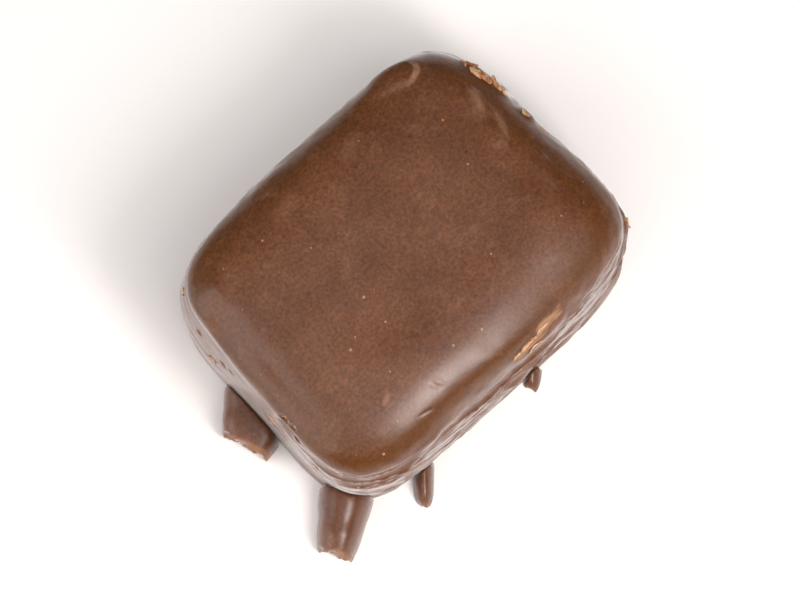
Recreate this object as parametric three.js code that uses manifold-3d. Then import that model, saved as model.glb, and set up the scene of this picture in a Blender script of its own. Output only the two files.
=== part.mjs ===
// A chocolate coconut chew: a block of shredded coconut paste under one coat of milk chocolate,
// with the short tails that run off the coat while it is still liquid.
// Millimetres, +Z up. The origin is the middle of the flat underside and +X is the long way.
import * as THREE from 'three';
import { mergeVertices } from 'three/addons/utils/BufferGeometryUtils.js';
import Module from 'manifold-3d';

// The body is a pillow: a superellipse in plan, carried up over a belly to a crowned top.
const LENGTH = 34;
const WIDTH = 26.6;
const HEIGHT = 16;
const BELLY_HEIGHT = 5;
const LOWER_REACH = 8.4; // below the belly, where the lower half would close if it were not flat
const PLAN_SQUARENESS = 5.1; // the power of each superellipse: 2 is round, more is squarer
const TOP_SQUARENESS = 5;
const LOWER_SQUARENESS = 4.4;
const SIDE_TAPER = 0.03; // how much shorter the +Y side is, and longer the -Y side

// The coat is uneven, as a thick liquid leaves it: slow waves all over, and on the walls steps
// in its thickness. A step's line wanders up and down as it goes round the body, and the step
// fades out and comes back.
const WAVES = [
  { length: 19, height: 0.08, phase: 0 },
  { length: 13, height: 0.055, phase: 1.3 },
  { length: 9, height: 0.04, phase: 2.6 },
];
const LEDGES = [
  { level: 10.8, span: 1.8, step: 0.36, wander: 0.9, phase: 1 }, // a shoulder, thicker below
  { level: 4.6, span: 1.2, step: -0.5, wander: 1.4, phase: 4 }, // the coat's hem, thinner below
];

// The foot, where the coat spreads on the surface it sets on. At one corner a skirt spreads
// further and reaches higher. Turns are in radians round the body from +X.
const FOOT_PROUD = 1.0;
const FOOT_HEIGHT = 1.1;
const FOOT_PHASE = 2;
const SKIRT_PROUD = 0.6;
const SKIRT_HEIGHT = 4.2;
const SKIRT_TURN = -0.45;
const SKIRT_NARROWNESS = 12;

// Coconut shreds press through the coat of the walls. Lengths and widths are halves.
const SHRED_COUNT = 46;
const SHRED_SEED = 4711;
const SHRED_LENGTH = [2.2, 3.6];
const SHRED_WIDTH = [0.75, 1.05];
const SHRED_HEIGHT = [0.12, 0.3];
const SHRED_LEVEL = [2.2, 11.5];
const SHRED_SLANT = 0.6; // radians from level, either way

// Single marks: where each is, which way it runs (degrees from +X), its half length and half
// width, and how far it stands out or, below zero, how deep it is.
const MARKS = [
  { at: [16.2, 6.1, 13.2], turn: 90, half: [2.3, 0.8], height: 0.42 }, // bare flake
  { at: [16.5, 1.4, 12.8], turn: 80, half: [0.9, 0.8], height: 0.3 }, // bare flake
  { at: [3.5, -13, 12], turn: 4, half: [2.9, 1.0], height: 0.34 }, // scuffed shreds
  { at: [16.2, -10.6, 8.5], turn: 70, half: [0.9, 0.8], height: 0.3 }, // corner flake
  { at: [10.8, 11.6, 14.1], turn: -16, half: [2.4, 1.3], height: 0.34 }, // lapped fold
  { at: [13.7, 4.6, 15.3], turn: 80, half: [1.3, 0.9], height: 0.22 }, // shred under the top
  { at: [13.3, 1.3, 15.5], turn: 60, half: [1.2, 0.9], height: 0.2 }, // shred under the top
  { at: [13.6, -4.0, 15.3], turn: 75, half: [1.6, 0.9], height: 0.2 }, // shred under the top
  { at: [10.2, -7.1, 15.7], turn: 48, half: [3.4, 1.5], height: 0.24 }, // low swell
  { at: [-14.7, 7.9, 14.3], turn: 0, half: [1.9, 1.9], height: 0.3 }, // raised corner
  { at: [-15.7, 5.0, 13.3], turn: 80, half: [1.7, 0.9], height: -0.34 }, // dent beside it
  { at: [-16.9, -4.0, 12.2], turn: 90, half: [1.1, 0.8], height: -0.25 }, // burst bubbles
];

// Tails lie on the floor and run much the same way, one to each gap of a wire belt. Each has the
// place of its broken tip, its heading in degrees from +X, its width and height at the tip and
// at the root buried in the body, the power of its section, how far the break slants (rise over
// run) and how blunt the tip is (1 keeps its full size).
const TAIL_LENGTH = 11;
const TAIL_STEPS = 12;
const TAIL_SIDES = 10;
const TAIL_SINK = 1; // below the floor, cut off with the underside
const TIP_TAPER = 1.6; // the stretch over which a tip closes
const TIP_RAGGED = 0.22; // how far the break juts in and out
const TAIL_LUMPS = 0.03; // swell and neck, as a share of the size
const TAILS = [
  {
    tip: [-19.5, -0.9],
    heading: 204,
    tipSize: [4.5, 2.8],
    rootSize: [12.5, 5.2],
    squareness: 4,
    slant: 0.14,
    blunt: 0.95,
  },
  {
    tip: [-20.5, -13.2],
    heading: 216,
    tipSize: [3.4, 3.0],
    rootSize: [6.6, 4.6],
    squareness: 2.4,
    slant: 0.2,
    blunt: 0.86,
  },
  {
    tip: [-11.9, -15.4],
    heading: 229,
    tipSize: [1.7, 1.5],
    rootSize: [3.4, 3.4],
    squareness: 2,
    slant: 0,
    blunt: 0.4,
  },
  {
    tip: [1.9, -14.4],
    heading: 226,
    tipSize: [2.0, 1.1],
    rootSize: [4.4, 3.0],
    squareness: 2,
    slant: 0.2,
    blunt: 0.6,
  },
];

// The mesh: squares along each way, closer together towards the rolled edges.
const BODY_GRID = [38, 30, 20];
const GRID_EASE = 1.1;
const GRID_MARGIN = 1; // how far the grid reaches below the floor
const MERGE_DISTANCE = 1e-4;

const HALF_LENGTH = LENGTH / 2;
const HALF_WIDTH = WIDTH / 2;
const TOP_RISE = HEIGHT - BELLY_HEIGHT;
const UP = new THREE.Vector3(0, 0, 1);
const { clamp, degToRad, lerp, smoothstep } = THREE.MathUtils;

// The same draws each time: Lehmer's generator, its state kept between calls.
function makeDraws(seed) {
  let state = seed;
  return function draw([low, high]) {
    state = (state * 16807) % 2147483647;
    return lerp(low, high, state / 2147483647);
  };
}

function signedPower(value, power) {
  return Math.sign(value) * Math.abs(value) ** power;
}

// How far a line has drifted at one turn round the body, from -1 to 1.
function wanderAt(turn, phase) {
  return 0.6 * Math.sin(2 * turn + phase) + 0.4 * Math.sin(5 * turn + phase);
}

// Where a point stands against the pillow, measured from the belly's middle: `reach` is 1 on the
// surface and grows outwards in proportion, and `normal` points outwards there.
function measurePillow(point) {
  const alongX = point.x / HALF_LENGTH;
  const alongY = point.y / HALF_WIDTH;
  const planSum = Math.abs(alongX) ** PLAN_SQUARENESS + Math.abs(alongY) ** PLAN_SQUARENESS;
  const plan = planSum ** (1 / PLAN_SQUARENESS);
  const rise = point.z > 0 ? TOP_RISE : LOWER_REACH;
  const squareness = point.z > 0 ? TOP_SQUARENESS : LOWER_SQUARENESS;
  const level = point.z / rise;
  const planSlope = plan > 0 ? plan ** (squareness - PLAN_SQUARENESS) : 0;
  return {
    reach: (plan ** squareness + Math.abs(level) ** squareness) ** (1 / squareness),
    normal: new THREE.Vector3(
      (planSlope * signedPower(alongX, PLAN_SQUARENESS - 1)) / HALF_LENGTH,
      (planSlope * signedPower(alongY, PLAN_SQUARENESS - 1)) / HALF_WIDTH,
      signedPower(level, squareness - 1) / rise,
    ).normalize(),
  };
}

// The pillow's surface on the ray from the belly's middle through `point`: the place there, with
// its height from the floor, and the normal.
function pillowSurface(point) {
  const place = point.clone().divideScalar(measurePillow(point).reach);
  const { normal } = measurePillow(place);
  return { place: place.setZ(place.z + BELLY_HEIGHT), normal };
}

// A long soft bump: flat along its middle, round at its ends and across.
function makeBump({ place, normal }, run, [halfLength, halfWidth], height) {
  const along = run.clone().projectOnPlane(normal).normalize();
  const across = normal.clone().cross(along);
  return function bump(point) {
    const offset = point.clone().sub(place);
    const lengthwise = offset.dot(along) / halfLength;
    const crosswise = offset.dot(across) / halfWidth;
    const depthwise = offset.dot(normal) / (2 * halfWidth);
    return height * Math.exp(-(lengthwise ** 4) - crosswise ** 2 - depthwise ** 2);
  };
}

// Shreds stand round the walls at even steps, and their level, slant and size are drawn.
function makeShreds() {
  const draw = makeDraws(SHRED_SEED);
  const goldenTurn = Math.PI * (3 - Math.sqrt(5));
  return Array.from({ length: SHRED_COUNT }, (_, index) => {
    const turn = index * goldenTurn;
    const outward = new THREE.Vector3(LENGTH * Math.cos(turn), WIDTH * Math.sin(turn), 0);
    outward.divideScalar(measurePillow(outward).reach).setZ(draw(SHRED_LEVEL) - BELLY_HEIGHT);
    const surface = pillowSurface(outward);
    const level = UP.clone().cross(surface.normal).normalize();
    const run = level.applyAxisAngle(surface.normal, draw([-SHRED_SLANT, SHRED_SLANT]));
    const half = [draw(SHRED_LENGTH), draw(SHRED_WIDTH)];
    return makeBump(surface, run, half, draw(SHRED_HEIGHT));
  });
}

function makeMarks() {
  return MARKS.map(({ at: [x, y, z], turn, half, height }) => {
    const surface = pillowSurface(new THREE.Vector3(x, y, z - BELLY_HEIGHT));
    const angle = degToRad(turn);
    const run = new THREE.Vector3(Math.cos(angle), Math.sin(angle), 0);
    return makeBump(surface, run, half, height);
  });
}

const bumps = [...makeShreds(), ...makeMarks()];

function waveRelief({ x, y, z }) {
  return WAVES.reduce((total, { length, height, phase }) => {
    const pace = (2 * Math.PI) / length;
    const sideways = Math.sin(pace * x + phase) * Math.cos(pace * y + phase);
    const upwards = Math.sin(pace * (z + x / 2) + phase);
    return total + height * (sideways + upwards);
  }, 0);
}

function ledgeRelief(point, wallness) {
  const turn = Math.atan2(point.y, point.x);
  return LEDGES.reduce((total, { level, span, step, wander, phase }) => {
    const line = level + wander * wanderAt(turn, phase);
    const below = 1 - smoothstep(point.z, line - span / 2, line + span / 2);
    const strength = 0.5 + 0.5 * Math.sin(2 * turn - phase) * Math.cos(turn + phase);
    return total + step * strength * below * wallness;
  }, 0);
}

// How far the foot and the skirt spread sideways at a point near the floor.
function footSpread({ x, y, z }) {
  const turn = Math.atan2(y / WIDTH, x / LENGTH);
  const foot = FOOT_PROUD * (0.55 + 0.45 * wanderAt(turn, FOOT_PHASE));
  const skirt = SKIRT_PROUD * Math.max(Math.cos(turn - SKIRT_TURN), 0) ** SKIRT_NARROWNESS;
  return foot * Math.exp(-((z / FOOT_HEIGHT) ** 2)) + skirt * Math.exp(-((z / SKIRT_HEIGHT) ** 2));
}

// The finished surface of the body on the ray through a point of the grid.
function coatSurface(point) {
  const { place, normal } = pillowSurface(point);
  const wallness = Math.hypot(normal.x, normal.y);
  const bumpRelief = bumps.reduce((total, bump) => total + bump(place), 0);
  const relief = bumpRelief + waveRelief(place) + ledgeRelief(place, wallness);
  const sideways = new THREE.Vector3(normal.x, normal.y, 0).multiplyScalar(footSpread(place));
  const surface = place.clone().addScaledVector(normal, relief).add(sideways);
  return surface.setX(surface.x * (1 - (SIDE_TAPER * surface.y) / HALF_WIDTH));
}

// Gathers a coordinate from -1 to 1 towards its two ends.
function ease(value) {
  return Math.sin(value * GRID_EASE) / Math.sin(GRID_EASE);
}

function makeBody() {
  const geometry = new THREE.BoxGeometry(2, 2, 2, ...BODY_GRID);
  const position = geometry.attributes.position;
  const point = new THREE.Vector3();
  for (let index = 0; index < position.count; index += 1) {
    point.fromBufferAttribute(position, index);
    const rise = point.z > 0 ? TOP_RISE : BELLY_HEIGHT + GRID_MARGIN;
    point.set(ease(point.x) * HALF_LENGTH, ease(point.y) * HALF_WIDTH, point.z * rise);
    const { x, y, z } = coatSurface(point);
    position.setXYZ(index, x, y, z);
  }
  return geometry;
}

// A tail's section at full size 1 by 1: flat below, arched above.
function tailSection(squareness) {
  const points = Array.from({ length: TAIL_SIDES + 1 }, (_, index) => {
    const turn = (Math.PI * index) / TAIL_SIDES;
    const side = signedPower(Math.cos(turn), 2 / squareness) / 2;
    return new THREE.Vector2(side, Math.abs(Math.sin(turn)) ** (2 / squareness));
  });
  return new THREE.Shape(points);
}

// A tail from its buried root (way 0) to its broken tip (way 1).
function makeTail({ tip, heading, tipSize, rootSize, squareness, slant, blunt }) {
  const geometry = new THREE.ExtrudeGeometry(tailSection(squareness), {
    depth: 1,
    steps: TAIL_STEPS,
    bevelEnabled: false,
  });
  const angle = degToRad(heading);
  const along = new THREE.Vector3(Math.cos(angle), Math.sin(angle), 0);
  const across = UP.clone().cross(along);
  const position = geometry.attributes.position;
  for (let index = 0; index < position.count; index += 1) {
    const way = position.getZ(index);
    const toTip = (1 - way) * TAIL_LENGTH;
    const open = clamp(toTip / TIP_TAPER, 0, 1);
    const closing = lerp(blunt, 1, Math.sqrt(open * (2 - open)));
    const scale = closing * (1 + TAIL_LUMPS * Math.sin(2 * toTip + tip[0]));
    const side = position.getX(index) * scale * lerp(rootSize[0], tipSize[0], way);
    const height = scale * lerp(rootSize[1], tipSize[1], way);
    const up = lerp(-TAIL_SINK, height, position.getY(index));
    const jut = way < 1 ? 0 : slant * side + TIP_RAGGED * Math.sin(3 * side + 2 * up);
    const place = new THREE.Vector3(...tip, up);
    place.addScaledVector(along, jut - toTip).addScaledVector(across, side);
    position.setXYZ(index, place.x, place.y, place.z);
  }
  return geometry;
}

const wasm = await Module();
wasm.setup();

function toManifold(geometry) {
  const bare = geometry.clone();
  bare.deleteAttribute('normal');
  bare.deleteAttribute('uv');
  const merged = mergeVertices(bare, MERGE_DISTANCE);
  return new wasm.Manifold(
    new wasm.Mesh({
      numProp: 3,
      vertProperties: new Float32Array(merged.attributes.position.array),
      triVerts: new Uint32Array(merged.index.array),
    }),
  );
}

function toGeometry(manifold) {
  const { vertProperties, triVerts } = manifold.getMesh();
  const geometry = new THREE.BufferGeometry();
  geometry.setAttribute('position', new THREE.BufferAttribute(vertProperties, 3));
  geometry.setIndex(new THREE.BufferAttribute(triVerts, 1));
  geometry.computeVertexNormals();
  return geometry;
}

// Body and tails become one solid, and everything below the floor is cut off flat.
function makeChew() {
  const tails = TAILS.map(makeTail).map(toManifold);
  const whole = tails.reduce((sum, tail) => sum.add(tail), toManifold(makeBody()));
  const room = 3 * LENGTH;
  const aboveFloor = new THREE.BoxGeometry(room, room, room).translate(0, 0, room / 2);
  return toGeometry(whole.intersect(toManifold(aboveFloor)));
}

const milkChocolate = new THREE.MeshStandardMaterial({
  color: 0x7a5440,
  roughness: 0.38,
  metalness: 0,
});
const chew = new THREE.Mesh(makeChew(), milkChocolate);
chew.name = 'chew';

const group = new THREE.Group();
group.add(chew);

export default group;
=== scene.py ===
"""Looks of a chocolate coconut chew: shredded coconut paste under one milk chocolate coat.

Shapes are worked out in millimetres with +Z up and the origin under the body's middle, as the
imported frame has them, and every finished mesh is turned to metres at the end.
"""

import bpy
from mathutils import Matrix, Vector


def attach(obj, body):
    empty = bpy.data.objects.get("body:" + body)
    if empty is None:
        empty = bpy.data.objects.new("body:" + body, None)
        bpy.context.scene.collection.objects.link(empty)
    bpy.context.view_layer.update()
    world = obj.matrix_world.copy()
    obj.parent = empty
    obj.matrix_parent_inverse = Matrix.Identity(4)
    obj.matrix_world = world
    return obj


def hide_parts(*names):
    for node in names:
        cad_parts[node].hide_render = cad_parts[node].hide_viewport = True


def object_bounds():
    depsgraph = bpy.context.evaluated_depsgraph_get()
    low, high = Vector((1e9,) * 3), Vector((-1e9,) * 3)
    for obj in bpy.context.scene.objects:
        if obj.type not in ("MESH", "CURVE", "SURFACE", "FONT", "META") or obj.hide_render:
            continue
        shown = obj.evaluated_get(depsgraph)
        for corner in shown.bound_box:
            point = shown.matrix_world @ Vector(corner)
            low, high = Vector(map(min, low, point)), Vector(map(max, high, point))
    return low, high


bl_info = {
    "name": "Chocolate coconut chew",
    "version": (1, 0, 0),
    "blender": (4, 5, 0),
    "location": "3D View > Sidebar > Chew",
    "description": "Coat, bare coconut and studio of one enrobed coconut chew",
    "category": "Add Mesh",
}

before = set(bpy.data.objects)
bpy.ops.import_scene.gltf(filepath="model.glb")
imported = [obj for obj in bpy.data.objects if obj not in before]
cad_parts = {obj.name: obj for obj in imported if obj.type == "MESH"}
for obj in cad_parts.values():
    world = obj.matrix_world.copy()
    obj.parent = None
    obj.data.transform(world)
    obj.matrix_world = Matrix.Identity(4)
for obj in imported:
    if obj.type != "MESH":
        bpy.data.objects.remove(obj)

import math
from collections import namedtuple

import bmesh
import bpy
import numpy as np
from bpy.props import FloatProperty, FloatVectorProperty, IntProperty, PointerProperty
from mathutils import Vector
from mathutils.kdtree import KDTree

CAD_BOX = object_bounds()
CAD_NODE = "chew"
MM = 0.001
UP = np.array([0.0, 0.0, 1.0])
GOLDEN_TURN = math.pi * (3 - math.sqrt(5))  # spreads things round the body with no pattern
DRAW_FACTOR, DRAW_PRIME = 16807, 2147483647  # of Lehmer's generator
TINY = 1e-9  # keeps a division or a power away from nought
UNDERCUT = 1.0  # how far solids reach under the floor, until the underside is cut flat

# The pillow: a superellipse in plan, carried up over a belly to a crowned top.
BELLY_HEIGHT = 5.0
LOWER_REACH = 8.4  # how far the lower half would round down from the belly, past the floor
PLAN_SQUARENESS = 5.1
TOP_SQUARENESS = 5.0
LOWER_SQUARENESS = 4.4
SIDE_TAPER = 0.03  # how much shorter than its middle the +Y side is, and the -Y side longer

# Slow waves all over the coat, and on the walls steps in its thickness, which fade out and come
# back on their way round.
Wave = namedtuple("Wave", "length height phase")
WAVES = (Wave(19, 0.06, 0), Wave(13, 0.035, 1.3), Wave(9, 0.02, 2.6))
Ledge = namedtuple("Ledge", "level span step wander phase")
LEDGES = (Ledge(10.8, 1.8, 0.36, 0.9, 1), Ledge(4.6, 1.2, -0.5, 1.4, 4))
WANDER_SWELLS = ((2, 0.6), (5, 0.4))  # how often a line swells on its way round, and how far

# Ripples: soft irregular unevenness, as the sum of swells that run every way. Height, length of
# a swell, seed.
Ripple = namedtuple("Ripple", "height length seed")
WALL_RIPPLE = Ripple(0.03, 1.6, 77)
SKIN_RIPPLE = Ripple(0.006, 3.1, 78)
RIPPLE_SWELLS = 18
SWELL_PACES = (0.6, 1.5)  # how much slower or faster than its ripple one swell runs

# The foot, where the coat spread on the belt, and the skirt at one corner.
FOOT_PROUD = 1.0
FOOT_HEIGHT = 1.1
FOOT_WANDER = 0.45  # how much of the foot comes and goes on its way round
FOOT_PHASE = 2
FOOT_KEPT = 0.35  # how much of it the calm end can't take away
SKIRT_PROUD = 0.6
SKIRT_HEIGHT = 4.2
SKIRT_TURN = -0.45
SKIRT_NARROWNESS = 12

# Shreds under the coat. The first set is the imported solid's; the finer one is drawn after it.
ShredSet = namedtuple("ShredSet", "count seed length width height level slant")
WALL_SHREDS = ShredSet(46, 4711, (2.2, 3.6), (0.75, 1.05), (0.12, 0.3), (2.2, 11.5), 0.6)
FINE_SHREDS = ShredSet(150, 907, (0.8, 1.9), (0.22, 0.36), (0.03, 0.11), (1.0, 11.4), 0.5)

# The coat set stiller at the end that shows (-X): its turn and spread round the body in radians,
# and how much of the fine unevenness is gone there. Its wall stands straight up to a crisp brow.
CALM_TURN = 2.99
CALM_SPREAD = 0.74
CALM = 0.85
BROW_LEVEL = (12.2, 14.8)
BROW_WANDER = 0.25
BROW_PHASE = 0.8

# Single marks: place, run in degrees from +X, half length and half width, height.
Mark = namedtuple("Mark", "at turn half height")
MARKS = (
    Mark((16.2, 6.1, 13.2), 90, (2.3, 0.8), 0.42),  # bare flake
    Mark((16.5, 1.4, 12.8), 80, (0.9, 0.8), 0.3),  # bare flake
    Mark((3.5, -13, 12), 4, (2.9, 1.0), 0.34),  # scuffed shreds
    Mark((16.2, -10.6, 8.5), 70, (0.9, 0.8), 0.3),  # corner flake
    Mark((10.8, 11.6, 14.1), -16, (2.4, 1.3), 0.34),  # lapped fold
    Mark((13.7, 4.6, 15.3), 80, (1.3, 0.9), 0.22),  # shred under the top
    Mark((13.3, 1.3, 15.5), 60, (1.2, 0.9), 0.2),  # shred under the top
    Mark((13.6, -4.0, 15.3), 75, (1.6, 0.9), 0.2),  # shred under the top
    Mark((10.2, -7.1, 15.7), 48, (3.4, 1.9), 0.14),  # low swell
    Mark((-14.7, 7.9, 14.3), 0, (1.9, 1.9), 0.36),  # raised corner
    Mark((-15.7, 5.0, 13.3), 80, (1.7, 0.9), -0.22),  # dent beside it
    Mark((-16.9, -4.0, 12.2), 90, (1.1, 0.8), -0.25),  # burst bubbles
)
FINE_MARKS = (
    Mark((0.5, -11.5, 14.5), 90, (5, 8), 0.34),  # the near roll bows a little
    Mark((2.0, -12.3, 13.8), 2, (4, 1.5), 0.2),  # and is fuller over the scuffed shreds
    Mark((-14.8, 11.6, 12.6), 45, (7, 3.6), -0.5),  # the calm corner's brow stands back
    Mark((-14.8, 11.6, 4.0), 45, (7, 5), 0.4),  # and its wall leans out
    Mark((-16.6, 2.5, 12.8), 90, (5, 2.8), -0.25),  # brow between corner and tail
    Mark((-5.9, -10.5, 15.2), -70, (0.5, 0.12), -0.1),  # scratch
    Mark((-5.6, -10.4, 15.2), -70, (0.45, 0.12), 0.05),  # its burr
    Mark((-8.1, -11.7, 14.8), -20, (0.6, 0.12), -0.04),  # scratch
    Mark((-9.8, -8.5, 15.6), 25, (0.5, 0.16), 0.05),  # nick
    # Shreds just under the top.
    Mark((14.3, 5.6, 14.9), 86, (0.6, 0.3), 0.07),
    Mark((14.1, 3.3, 15.1), 70, (0.7, 0.28), 0.07),
    Mark((13.9, 2.0, 15.2), 110, (0.4, 0.26), 0.06),
    Mark((14.2, -2.6, 15.0), 74, (0.9, 0.28), 0.07),
    Mark((14.4, -5.4, 14.9), 96, (0.6, 0.26), 0.06),
    Mark((12.9, -0.4, 15.6), 64, (0.5, 0.3), 0.04),
    Mark((-12.9, 4.6, 15.2), 30, (2.2, 1.6), 0.08),
    Mark((-11.2, 0.6, 15.7), 10, (2.6, 1.7), 0.06),
    Mark((-15.6, -0.4, 14.0), 84, (1.8, 0.7), 0.1),
    Mark((7.4, 11.9, 14.4), -8, (1.6, 0.8), 0.12),
    Mark((-4.2, 12.3, 13.9), 4, (2.2, 0.8), 0.1),
)

# Round pits left by burst bubbles: place, radius, depth.
Pit = namedtuple("Pit", "at radius depth")
PITS = (
    Pit((-16.4, -3.5, 13.0), 0.42, 0.34),
    Pit((-16.3, -4.5, 13.1), 0.36, 0.3),
    Pit((-16.6, -5.3, 12.2), 0.26, 0.2),
    Pit((-16.9, 7.6, 9.6), 0.34, 0.14),
    Pit((-17.0, 4.2, 9.2), 0.36, 0.18),
    Pit((-16.9, 3.1, 9.8), 0.26, 0.12),
    Pit((-16.9, -1.6, 8.4), 0.42, 0.2),
    Pit((-16.8, -2.7, 7.9), 0.38, 0.16),
    Pit((-14.9, -11.0, 8.6), 0.4, 0.34),
    Pit((6.4, 13.4, 7.2), 0.34, 0.28),
    Pit((17.1, 8.2, 6.6), 0.3, 0.26),
    Pit((-7.2, 13.3, 9.4), 0.26, 0.22),
    Pit((11.3, -13.6, 6.1), 0.3, 0.24),
)
PIT_RIM = 0.22  # rim height as a share of the depth
PIT_RIM_AT = 1.35  # in radii from the middle, as is its width
PIT_RIM_WIDTH = 0.4

# Drapes: thin lines where the coat ran and set, wavy along a stretch of wall. Turn and spread
# are radians round the body from +X, and a drape below zero is a crevice.
Drape = namedtuple("Drape", "level wander phase turn spread width height")
DRAPES = (
    Drape(11.6, 0.3, 0.4, -2.62, 0.42, 0.15, 0.2),
    Drape(10.5, 0.45, 1.9, -2.55, 0.5, 0.14, 0.18),
    Drape(9.3, 0.5, 3.1, -2.6, 0.44, 0.16, 0.18),
    Drape(8.0, 0.4, 2.0, -2.56, 0.4, 0.15, 0.16),
    Drape(7.3, 0.4, 4.4, 3.02, 0.42, 0.26, -0.2),
    Drape(10.4, 0.5, 5.2, -1.5, 0.62, 0.14, 0.16),
    Drape(9.2, 0.55, 0.2, -1.42, 0.7, 0.13, 0.14),
    Drape(9.4, 0.6, 1.1, -0.36, 0.34, 0.16, 0.24),
    Drape(8.0, 0.5, 2.7, -0.3, 0.36, 0.14, 0.2),
    Drape(8.3, 0.6, 5.5, 0.3, 0.42, 0.2, -0.18),
    Drape(6.9, 0.5, 4.9, 1.3, 0.6, 0.2, -0.18),
)
DRAPE_PACE = 2.2  # how much faster than a ledge a drape wanders
# Finer ones all round, drawn within these limits.
DrapeSet = namedtuple("DrapeSet", "count seed level wander spread width height")
FINE_DRAPES = DrapeSet(44, 6211, (2.4, 11.8), (0.1, 0.5), (0.14, 0.42), (0.09, 0.15), (0.04, 0.13))

# Lips: the roll ends in a soft crease where the coat sagged over the wall. They rise slowly from
# above and drop away fast below.
Lip = namedtuple("Lip", "level wander phase turn spread above below height")
LIPS = (
    Lip(12.2, 0.25, 0.6, -2.4, 0.34, 1.5, 0.5, 0.3),
    Lip(12.6, 0.2, 2.4, 2.0, 0.9, 1.4, 0.5, 0.16),
    Lip(11.9, 0.35, 4.1, -0.5, 0.7, 1.5, 0.45, 0.22),
)

# A lapped fold: a tongue of coat that ran over the roll and stopped with a steep round front.
FOLD_AT = (9.4, 11.6, 14.5)
FOLD_RUN = -26  # degrees from +X
FOLD_HALF = (3.1, 1.3)
FOLD_HEIGHT = 0.3
FOLD_RISE = (-1, 0.6)  # where along its run it rises, in half lengths from its middle
FOLD_ROUND = 0.9  # how far the sides of its front stand back
FOLD_FRONT = 0.2  # over how far the front drops

# Tails that ran off the coat, one to each gap of the belt. Each has its broken tip, heading in
# degrees from +X, width and height at tip and root, power of its section, and the slant,
# bluntness and lobes of its break.
Tail = namedtuple("Tail", "tip heading tip_size root_size squareness slant blunt lobes")
TAILS = (
    Tail((-19.5, -0.9), 204, (4.5, 2.8), (12.5, 5.2), 4, 0.14, 0.95, 0.04),
    Tail((-20.5, -13.2), 216, (3.4, 3.0), (6.6, 4.6), 2.4, 0.2, 0.86, 0.06),
    Tail((-11.9, -15.4), 229, (1.7, 1.5), (3.4, 3.4), 2, 0.0, 0.4, 0.0),
    Tail((1.9, -14.4), 226, (2.0, 1.1), (4.4, 3.0), 2, 0.2, 0.6, 0.03),
)
TAIL_GRID = (40, 56, 22)
TAIL_LENGTH = 11.0
TAIL_LUMPS = 0.012
LUMP_PACE = 2  # radians for each mm along a tail
TAIL_RIPPLE = Ripple(0.016, 2.4, 57)
TIP_TAPER = 1.6
TIP_RAGGED = 0.14
RAGGED_PACES = (3, 2)  # radians for each mm across a break and up it
TIP_HOLLOW = 0.16  # how far the break is dished
TIP_GRIT = Ripple(0.045, 0.7, 31)
LOBE_PACE = 5.6  # radians of scallop for each mm across a break
BREAK_LENGTH = 0.5  # over how far the break's unevenness fades out along a tail

# Meshes. The block that becomes the body has its grid lines gathered towards the rolls.
BODY_GRID = (152, 120, 120)
GRID_EASE = 1.1
FILLET = 1.9  # how far from its seam a tail blends into the body
FILLET_ROUNDS = 40
FILLET_PULL = 0.7
SEAM_SLACK = 1e-3  # a vertex further than this from every old one is new
CUT_SLACK = 1e-5
SHARP_EDGE = math.radians(55)

# The coat's paint, one number at each vertex: between which levels a roll runs thinner and is
# painted darker as shade, at which rises of its normal a wall stops being steep, and how a break
# is paler, most at its edge.
COAT_PAINT = ("thin", "steep", "worn", "broken")
THIN_COAT_AND_SHADE_LEVEL = (8, 13)
STEEP_RISE = (0.15, 0.45)
BREAK_RIM = 0.4  # how far the paler break reaches back along a tail
BREAK_REACH = (1.4, 1.3)  # how far aside and up it reaches, in half widths and heights of the tip
BREAK_EDGE = (0.7, 0.92)  # where its edge starts, in the same measure
BREAK_MIDDLE = 0.4  # how pale its middle is, where its edge has 1

# Bare coconut. Place, run in degrees, length, width, thickness.
Flake = namedtuple("Flake", "at turn length width thickness")
BARE_FLAKES = (
    Flake((15.9, 8.3, 13.6), 50, 0.9, 0.26, 0.24),
    Flake((16.0, 7.7, 13.3), 118, 1.0, 0.26, 0.24),
    Flake((15.9, 6.8, 13.8), 94, 1.7, 0.6, 0.32),
    Flake((16.0, 6.0, 13.6), 84, 1.4, 0.5, 0.3),
    Flake((16.1, 4.9, 13.4), 78, 1.6, 0.42, 0.28),
    Flake((16.2, 4.1, 13.2), 70, 0.9, 0.26, 0.22),
    Flake((16.2, 1.4, 13.3), 84, 0.9, 0.3, 0.2),
    Flake((16.4, -0.6, 12.9), 88, 0.7, 0.2, 0.14),
    Flake((1.1, -12.7, 13.0), 8, 1.3, 0.24, 0.12),
    Flake((2.2, -12.6, 13.1), 12, 1.8, 0.3, 0.13),
    Flake((3.9, -12.5, 13.3), 4, 1.4, 0.24, 0.1),
    Flake((2.7, -13.0, 12.4), 5, 1.5, 0.2, 0.1),
    Flake((16.3, -10.7, 8.4), 68, 0.8, 0.42, 0.24),
    Flake((-16.5, -3.4, 12.9), 70, 0.4, 0.22, 0.12),
    Flake((-16.4, -4.6, 13.0), 110, 0.34, 0.2, 0.12),
    Flake((-16.9, 4.3, 9.3), 84, 0.5, 0.16, 0.1),
    Flake((-16.8, -2.1, 8.2), 100, 0.6, 0.18, 0.1),
)
WALL_FLAKES = ShredSet(13, 5813, (0.5, 1.3), (0.16, 0.34), (0.1, 0.18), (2.6, 11.6), 0.6)

# Scuffs, where the coat is worn: place, run in degrees, half sizes, and how deep the wear is. A
# deep one bares the coconut in streaks and a shallow one only dulls the gloss.
Scuff = namedtuple("Scuff", "at turn half depth")
SCUFFS = (
    Scuff((5.0, -12.4, 13.3), -4, (1.9, 0.85), 1),
    Scuff((2.7, -12.7, 12.9), 4, (2.7, 0.7), 1),
    Scuff((16.1, 6.3, 13.4), 90, (2.3, 0.55), 1),
    Scuff((-16.4, -4.0, 13.0), 90, (0.8, 0.4), 1),
    Scuff((7.6, -11.0, 14.6), 4, (5.2, 2.4), 0.4),
)
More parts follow.
